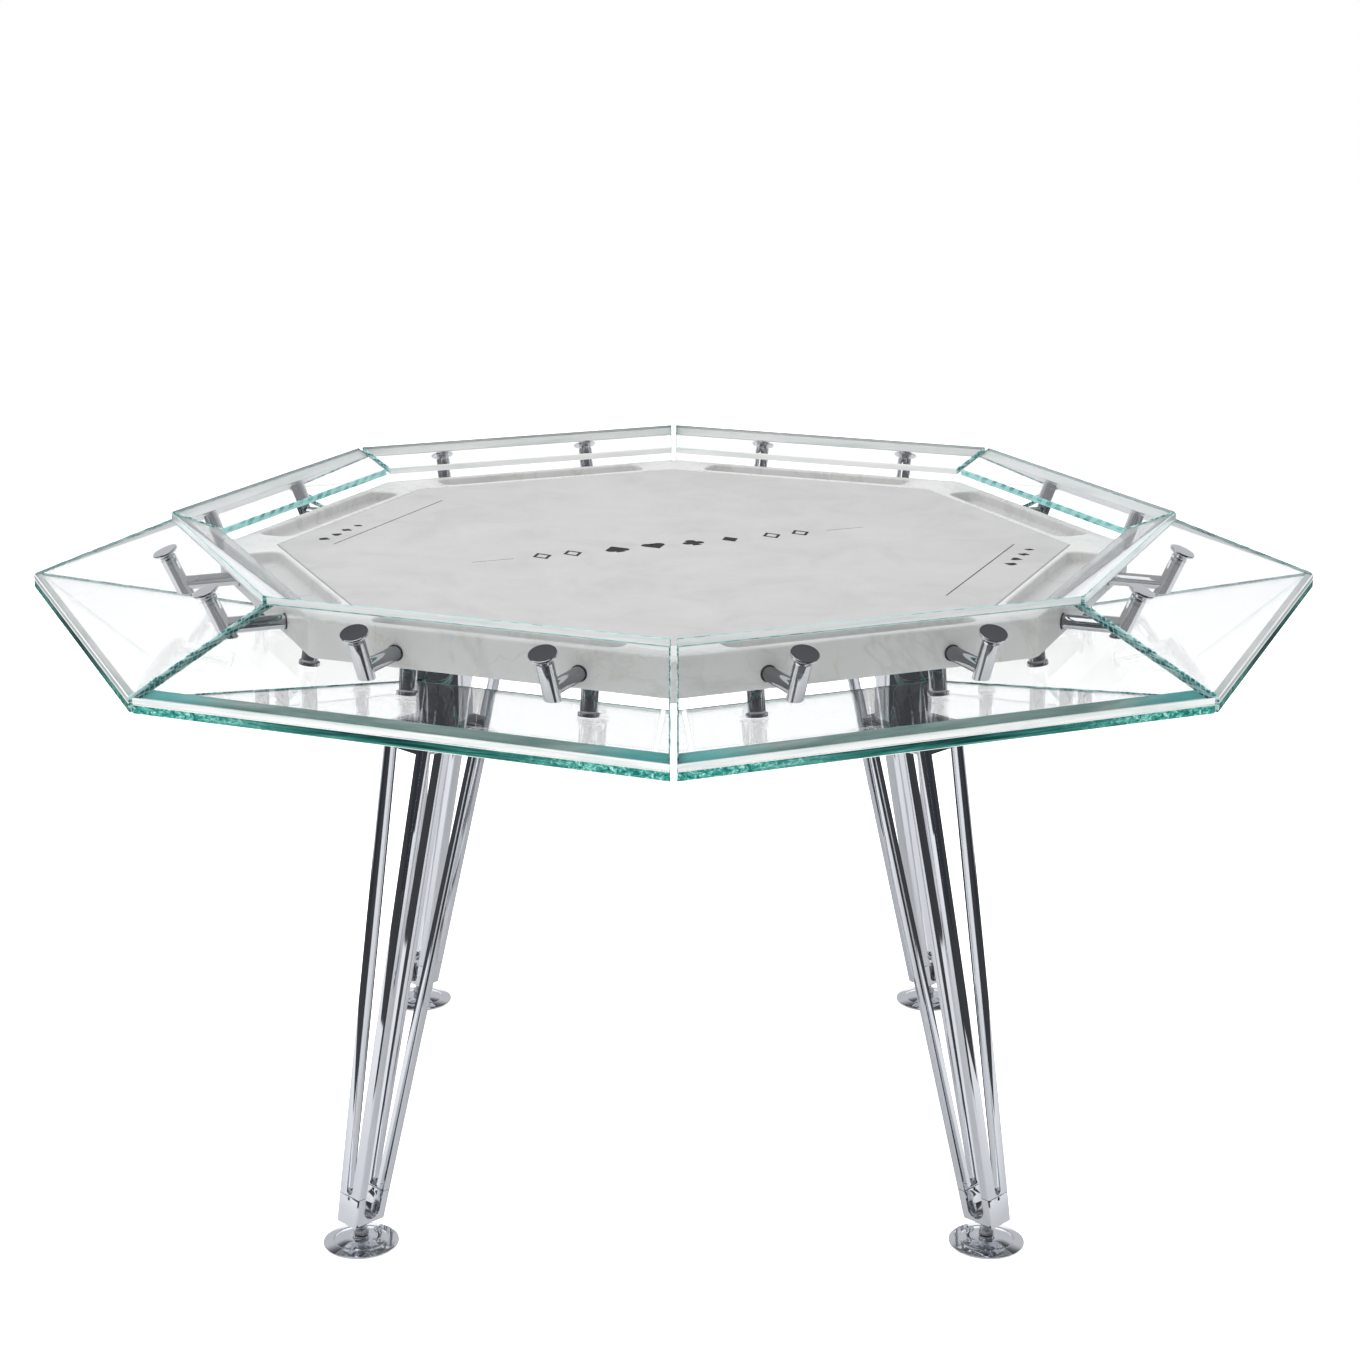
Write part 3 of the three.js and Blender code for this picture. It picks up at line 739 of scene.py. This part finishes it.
def stone_ring():
    tray, floor_z = ring_tray()
    top, low = ring_high.z, ring_low.z
    a, f, c = STONE_ARRIS, TRAY_FILLET, STONE_CORNER
    rings = [octagon(ring_apothem - a + a * s, RING_CORNER - a + a * s, top - a * r) for s, r in quarter()]
    rings += [octagon(ring_apothem - a * r, RING_CORNER - a * r, low + a - a * s) for s, r in quarter()]
    rings += [octagon(rebate_apothem, c, low), octagon(rebate_apothem, c, low + RING_STEP)]
    rings += [octagon(bore_apothem, c, low + RING_STEP)]
    rings += [octagon(bore_apothem + a * r, c + a * r, top - a + a * s) for s, r in quarter()]
    bm = bmesh.new()
    made = add_rings(bm, rings, closed_ends=False)
    rims = [made[0], made[-1]]
    for number in range(SIDES):
        turn = FIRST_SIDE + number * TURN
        walls = [tray_outline(tray, a * (1 - s), top - a * r, turn) for s, r in quarter()]
        walls += [tray_outline(tray, -f * r, floor_z + f - f * s, turn) for s, r in quarter()]
        # Tray walls and floors take the darker marble: painted shade in the trays
        sunk = add_rings(bm, walls, 1, closed_ends=False)
        bm.faces.new(sunk[-1]).material_index = 1
        rims.append(sunk[0])
    edges = [bm.edges.get(ends) or bm.edges.new(ends) for rim in rims for ends in pairs(rim)]
    bmesh.ops.triangle_fill(bm, edges=edges, use_beauty=True)
    new_piece("marble_ring", bm, (MARBLE, SHADED_TRAY_MARBLE), "stone_ring", sharp=30)


def field():
    """The leather panel and the dark seam around it, a dark filler that is painted shade in the gap."""
    low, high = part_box("playing_field")
    edge = bore_apothem - FIELD_SEAM
    r = FIELD_ROLL
    rings = [octagon(edge, FIELD_CORNER, low.z)]
    rings += [octagon(edge - r * c, FIELD_CORNER + r * (1 - c), high.z - r + r * s) for s, c in quarter()]
    bm = bmesh.new()
    add_rings(bm, rings)
    new_piece("leather_field", bm, (LEATHER,), "playing_field", sharp=30)
    inner, outer = edge + HAIR, bore_apothem - HAIR
    deep, shallow = (high.z - depth for depth in SEAM_DEPTHS)
    section = ((inner, deep), (inner, shallow), (outer, shallow), (outer, deep), (inner, deep))
    # A dark filler down in the gap: painted shade
    seam = bmesh.new()
    add_rings(seam, [octagon(apothem, FIELD_CORNER, z) for apothem, z in section], closed_ends=False)
    bmesh.ops.remove_doubles(seam, verts=seam.verts, dist=1e-6)
    new_piece("field_seam_shade", seam, (GAP_SHADE,), None)


def add_plate(bm, outline, low, high):
    """A flat printed shape from its outline of (x, y) points."""
    add_rings(bm, [[Vector((x, y, z)) for x, y in outline] for z in (low, high)])


def arc(x, y, radius, start, end, steps=10):
    angles = (math.radians(start + (end - start) * i / steps) for i in range(steps + 1))
    return [(x + radius * math.cos(a), y + radius * math.sin(a)) for a in angles]


def heart():
    right = arc(0.24, 0.2, 0.26, -35, 180, 14)
    left = arc(-0.24, 0.2, 0.26, 0, 215, 14)
    return [[(0, -0.5)] + right + left[1:]]


def spade():
    leaf = [(-x, -y + 0.08) for x, y in heart()[0]]
    stem = [(-0.2, -0.52), (0.2, -0.52), (0.05, -0.1), (-0.05, -0.1)]
    return [leaf, stem]


def club():
    leaves = [arc(x, y, 0.22, 0, 342, 18) for x, y in ((0, 0.24), (-0.24, -0.08), (0.24, -0.08))]
    stem = [(-0.2, -0.52), (0.2, -0.52), (0.05, 0.05), (-0.05, 0.05)]
    return leaves + [stem]


def diamond():
    return [[(0, -0.5), (0.36, 0), (0, 0.5), (-0.36, 0)]]


def stamp(bm, shapes, centre, size, turn, low, high):
    """Prints the shapes at centre. A mark's overlapping shapes are stepped so that no faces coincide."""
    cos, sin = math.cos(turn) * size, math.sin(turn) * size
    for index, shape in enumerate(shapes):
        outline = [(centre[0] + x * cos - y * sin, centre[1] + x * sin + y * cos) for x, y in shape]
        add_plate(bm, outline, low, high + index * PRINT_THICK / 8)


def add_frame(bm, outline, centre, size, turn, low, high):
    """Prints only the outline's border."""
    cos, sin = math.cos(turn) * size, math.sin(turn) * size
    rings = []
    for share, z in ((1, low), (1, high), (FRAME_INSIDE, high), (FRAME_INSIDE, low), (1, low)):
        rings.append([Vector((centre[0] + share * (x * cos - y * sin),
                              centre[1] + share * (x * sin + y * cos), z)) for x, y in outline])
    add_rings(bm, rings, closed_ends=False)
    bmesh.ops.remove_doubles(bm, verts=bm.verts, dist=1e-6)


def stripe(bm, start, end, wide, low, high):
    a, b = Vector(start), Vector(end)
    side = Vector((a.y - b.y, b.x - a.x)).normalized() * wide / 2
    add_plate(bm, [a - side, b - side, b + side, a + side], low, high)


def field_print():
    """Four suits across the middle between pairs of hollow diamonds, and fine lines along two sides."""
    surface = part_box("playing_field")[1].z
    low, high = surface - PRINT_THICK, surface + PRINT_THICK
    bm = bmesh.new()
    line = Vector((math.cos(PRINT_TURN), math.sin(PRINT_TURN)))
    outwards = Vector((line.x, -line.y))
    across = Vector((line.y, line.x))
    suits = list(zip((-1.5, -0.5, 0.5, 1.5), (spade(), heart(), club(), diamond())))
    for step, mark in suits:
        stamp(bm, mark, line * step * SUIT_STEP, SUIT_SIZE, PRINT_TURN, low, high)
    for side in (-1, 1):
        for reach in DIAMOND_REACH:
            add_frame(bm, diamond()[0], line * side * reach, DIAMOND_SIZE, PRINT_TURN, low, high)
        start, end = (line * side * reach for reach in SHORT_LINE)
        stripe(bm, start, end, SHORT_LINE_WIDE, low, high)
        start, end = (outwards * side * LONG_LINE_REACH + across * side * reach for reach in LONG_LINE)
        stripe(bm, start, end, LONG_LINE_WIDE, low, high)
        for step, mark in suits:
            along_edge = side * SMALL_SUIT_START + step * SMALL_SUIT_STEP
            place = outwards * side * SMALL_SUIT_REACH + across * along_edge
            stamp(bm, mark, place, SMALL_SUIT_SIZE, side * math.pi / 2 - PRINT_TURN, low, high)
    new_piece("field_print", bm, (INK,), None)


def base_board():
    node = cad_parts["base_plate"]
    node.data.materials.clear()
    node.data.materials.append(BOARD)


# ---------------------------------------------------------------- legs and feet

def placing(node):
    """The direction of a node on the leg circle, and the place of its axis when turned back to +X."""
    low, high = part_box(node)
    centre = (low + high) / 2
    return math.atan2(centre.y, centre.x), Matrix.Translation((centre.xy.length, 0, 0))


def leg(name):
    """Bars and head above the joint, slotted foot block below it, all with soft polished edges."""
    node = f"leg_{name}"
    turn = placing(node)[0]
    whole = bmesh.new()
    for side in (-1, 1):
        half = cad_solid(node, turn)
        place = Vector((0, 0, LEG_JOINT + side * JOINT_GAP / 2))
        made = cut_mesh(half, place, UP, clear_outer=side < 0, clear_inner=side > 0)
        open_edges = [g for g in made["geom_cut"] if isinstance(g, bmesh.types.BMEdge)]
        bmesh.ops.edgeloop_fill(half, edges=open_edges)
        bevel_edges(half, LEG_ARRIS, 3, -1, 35)
        mesh = bpy.data.meshes.new("half")
        half.to_mesh(mesh)
        half.free()
        whole.from_mesh(mesh)
        bpy.data.meshes.remove(mesh)
    new_piece(f"chrome_leg_{name}", whole, (LEG_CHROME,), node, turn=turn)


def socket(name):
    """Drum and flange under the base plate, with four screws."""
    node = f"leg_socket_{name}"
    low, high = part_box(node)
    turn, place = placing(node)
    points = [place.inverted() @ p for p in cad_points(node, turn)]
    flange_radius = max(p.xy.length for p in points)
    drum_radius = max(p.xy.length for p in points if p.z < low.z + 0.001)
    flange_z = min(p.z for p in points if p.xy.length > flange_radius - 0.001)
    bm = bmesh.new()
    profile = [(0, low.z), (drum_radius, low.z), (drum_radius, flange_z), (flange_radius, flange_z),
               (flange_radius, high.z), (0, high.z)]
    add_lathe(bm, rounded(profile, DRUM_EDGE), place, 72)
    head = [(0, 0), (0.75 * SCREW_HEAD, 0), (SCREW_HEAD, 0.0012), (SCREW_HEAD, SCREW_THICK),
            (0, SCREW_THICK)]
    head_z = flange_z - SCREW_THICK + SCREW_SUNK
    reach = (drum_radius + flange_radius) / 2
    for a in full_turn(4):
        x, y = reach * math.cos(a + TURN / 2), reach * math.sin(a + TURN / 2)
        add_lathe(bm, rounded(head, 0.0004, 2), place @ Matrix.Translation((x, y, head_z)), 24)
    new_piece(f"leg_drum_{name}", bm, (LEG_CHROME,), node, turn=turn)


def foot_disc(name):
    """Pressed disc: a thin rim, a shallow flange, a crease and a low dome up to the hub."""
    node = f"foot_disc_{name}"
    low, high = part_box(node)
    turn, place = placing(node)
    radius = (high.x - low.x) / 2
    crease, crease_high = DISC_CREASE
    profile = [(0, low.z), (radius - 0.001, low.z), (radius, low.z + 0.001), (radius, low.z + DISC_RIM)]
    profile += [(radius - 0.004, low.z + DISC_RIM + 0.0008), (crease + 0.0008, low.z + crease_high)]
    profile += [(crease, low.z + crease_high - 0.0003)]
    for i in range(1, DISC_STEPS + 1):
        share = i / DISC_STEPS
        rise = crease_high + (DISC_DOME - crease_high) * math.sin(share * math.pi / 2)
        profile.append((crease + (DISC_HUB + 0.001 - crease) * share, low.z + rise))
    profile += [(DISC_HUB, low.z + DISC_DOME), (DISC_HUB, high.z), (DISC_BORE, high.z)]
    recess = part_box(f"foot_stud_{name}")[0].z - STUD_SEAT_GAP
    profile += [(DISC_BORE, recess), (0, recess)]
    bm = bmesh.new()
    add_lathe(bm, rounded(profile, DISC_EDGE, 3), place, 112)
    new_piece(f"chrome_disc_{name}", bm, (LEG_CHROME,), node, f"disc_{name}", turn)


def add_thread(bm, place, low, high, segments=40, per_pitch=6):
    """A screw thread that fades out over its last third of a pitch."""
    rows = int((high - low) / THREAD_PITCH * per_pitch)
    rings = []
    for row in range(rows + 1):
        z = low + (high - low) * row / rows
        fade = max(0, 1 - 3 * (rows - row) / per_pitch)
        ring = []
        for i, a in enumerate(full_turn(segments)):
            phase = (z / THREAD_PITCH - i / segments) % 1
            r = STUD_RADIUS - THREAD_DEPTH * abs(2 * phase - 1) - THREAD_DEPTH * fade
            ring.append(place @ Vector((r * math.cos(a), r * math.sin(a), z)))
        rings.append(ring)
    add_rings(bm, rings)


def foot_stud(name):
    """Stud with a real thread and a hexagonal collar."""
    node = f"foot_stud_{name}"
    low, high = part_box(node)
    turn, place = placing(node)
    bm = bmesh.new()
    add_thread(bm, place, HEX_HIGH - HEX_OVERLAP, high.z)
    shank = drum_profile(STUD_RADIUS - STUD_EDGE, low.z, HEX_LOW + HEX_OVERLAP)
    add_lathe(bm, rounded(shank, STUD_EDGE, 3), place, 40)
    rings = []
    for share, z in ((0.9, HEX_LOW), (1, HEX_LOW + HEX_CHAMFER), (1, HEX_HIGH - HEX_CHAMFER),
                     (0.9, HEX_HIGH)):
        r = HEX_RADIUS * share
        rings.append([place @ Vector((r * math.cos(a), r * math.sin(a), z)) for a in full_turn(6)])
    add_rings(bm, rings)
    new_piece(f"threaded_stud_{name}", bm, (STEEL,), node, f"stud_{name}", turn, sharp=25)


# ---------------------------------------------------------------- studio

def floor():
    """White to the eye. To polished surfaces it is pale around the table and dark beyond."""
    look = Look("studio_floor", (0.93, 0.93, 0.93), 0.9, Emission_Color=(1, 1, 1, 1))
    mottle = look.noise(0.8, 2.0)
    white = look.ramp(mottle, (0.3, (0.925, 0.925, 0.925)), (0.7, (0.94, 0.94, 0.94)))
    place = look.node("ShaderNodeSeparateXYZ", {"Vector": look.place}).outputs
    beside, front = PALE_FLOOR
    between = look.spread(look.sums("ABSOLUTE", place["X"]), 1, 0, beside, beside + 0.06)
    inside = look.sums("MULTIPLY", between, look.spread(place["Y"], 0, 1, front - 0.06, front))
    polish = look.after_polish()
    reflected = look.mix(inside, DARK_REFLECTION, PALE_REFLECTION)
    look.drive("Base Color", look.mix(polish, white, reflected))
    path = look.node("ShaderNodeLightPath", {}).outputs
    straight = look.sums("MAXIMUM", path["Is Camera Ray"], path["Is Transmission Ray"])
    glow = look.spread(straight, FLOOR_GLOW, FLOOR_SEEN, 0, 1)
    look.drive("Emission Strength", look.sums("MULTIPLY", glow, look.spread(polish, 1, 0, 0, 1)))
    mesh = bpy.data.meshes.new("studio_floor")
    edge = [(FLOOR_RADIUS * math.cos(a), FLOOR_RADIUS * math.sin(a), FLOOR_LEVEL) for a in full_turn(64)]
    mesh.from_pydata(edge, [], [range(len(edge))])
    mesh.materials.append(look.material)
    made = bpy.data.objects.new("studio_floor", mesh)
    bpy.context.scene.collection.objects.link(made)


def studio_world():
    """White to the eye. Polished surfaces see a white backdrop, dark sides and strip lights."""
    world = bpy.data.worlds.new("studio")
    bpy.context.scene.world = world
    tree = Tree(world)
    way = tree.node("ShaderNodeTexCoord", {}).outputs["Generated"]
    parts = tree.node("ShaderNodeSeparateXYZ", {"Vector": way}).outputs
    x, y, z = parts["X"], parts["Y"], parts["Z"]
    behind = tree.spread(y, 0, 1, 0.1, 0.2, "SMOOTHSTEP")
    below = tree.spread(z, 1, 0, 0.5, 0.68, "SMOOTHSTEP")
    low_down = tree.spread(z, 1, HIGH_BACKDROP, 0.1, 0.2, "SMOOTHSTEP")
    backdrop = tree.sums("MULTIPLY", tree.sums("MULTIPLY", behind, below), low_down)
    level = tree.sums("SQRT", tree.sums("SUBTRACT", 1, tree.sums("MULTIPLY", z, z)))
    aside = tree.sums("DIVIDE", tree.sums("ABSOLUTE", x), tree.sums("MAXIMUM", level, 0.001))
    off_strip = tree.sums("ABSOLUTE", tree.sums("SUBTRACT", aside, STRIP_PLACE))
    strip = tree.sums("MULTIPLY", tree.spread(off_strip, 1, 0, 0.012, 0.02), tree.spread(y, 1, 0, -0.1, 0))
    bright = tree.sums("MAXIMUM", backdrop, tree.sums("MULTIPLY", strip, below))
    dark = tree.mix(tree.spread(z, 0, 1, 0, 1), (0.03, 0.034, 0.042), (0.11, 0.112, 0.118))
    polished = tree.mix(bright, dark, (1.1, 1.12, 1.15))
    facing = tree.mix(tree.spread(y, 0, 1, -0.8, -0.1), FRONT_FILL, (1.08, 1.08, 1.08))
    is_diffuse = tree.node("ShaderNodeLightPath", {}).outputs["Is Diffuse Ray"]
    seen = tree.mix(is_diffuse, (1, 1, 1), facing)
    seen = tree.mix(tree.after_polish(), seen, polished)
    tree.links.new(seen, tree.nodes["Background"].inputs["Color"])


def softbox(name, place, target, size, power):
    light = bpy.data.lights.new(name, "AREA")
    light.shape = "SQUARE"
    light.size = size
    light.energy = power
    made = bpy.data.objects.new(name, light)
    bpy.context.scene.collection.objects.link(made)
    made.location = place
    made.rotation_euler = (Vector(target) - Vector(place)).to_track_quat("-Z", "Y").to_euler()


def camera():
    data = bpy.data.cameras.new("camera")
    data.sensor_width = 36
    data.lens = LENS
    data.shift_x = SHIFT_X
    made = bpy.data.objects.new("camera", data)
    bpy.context.scene.collection.objects.link(made)
    made.location = CAMERA_PLACE
    made.rotation_euler = (math.radians(90 - CAMERA_PITCH), 0, 0)
    bpy.context.scene.camera = made


ring_low, ring_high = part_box("stone_ring")
ring_apothem = max(p.x for p in cad_points("stone_ring", FIRST_SIDE))
rebate_apothem = max(p.x for p in cad_points("base_plate", FIRST_SIDE)) + 3 * HAIR
bore_apothem = max(p.x for p in cad_points("playing_field", FIRST_SIDE)) + 3 * HAIR

glass_rim()
brackets()
stone_ring()
field()
field_print()
base_board()
for leg_name in LEGS:
    leg(leg_name)
    socket(leg_name)
    foot_disc(leg_name)
    foot_stud(leg_name)
floor()
studio_world()
softbox("key", KEY_PLACE, KEY_TARGET, KEY_SIZE, KEY_POWER)
camera()
bpy.context.scene.view_settings.view_transform = "Standard"
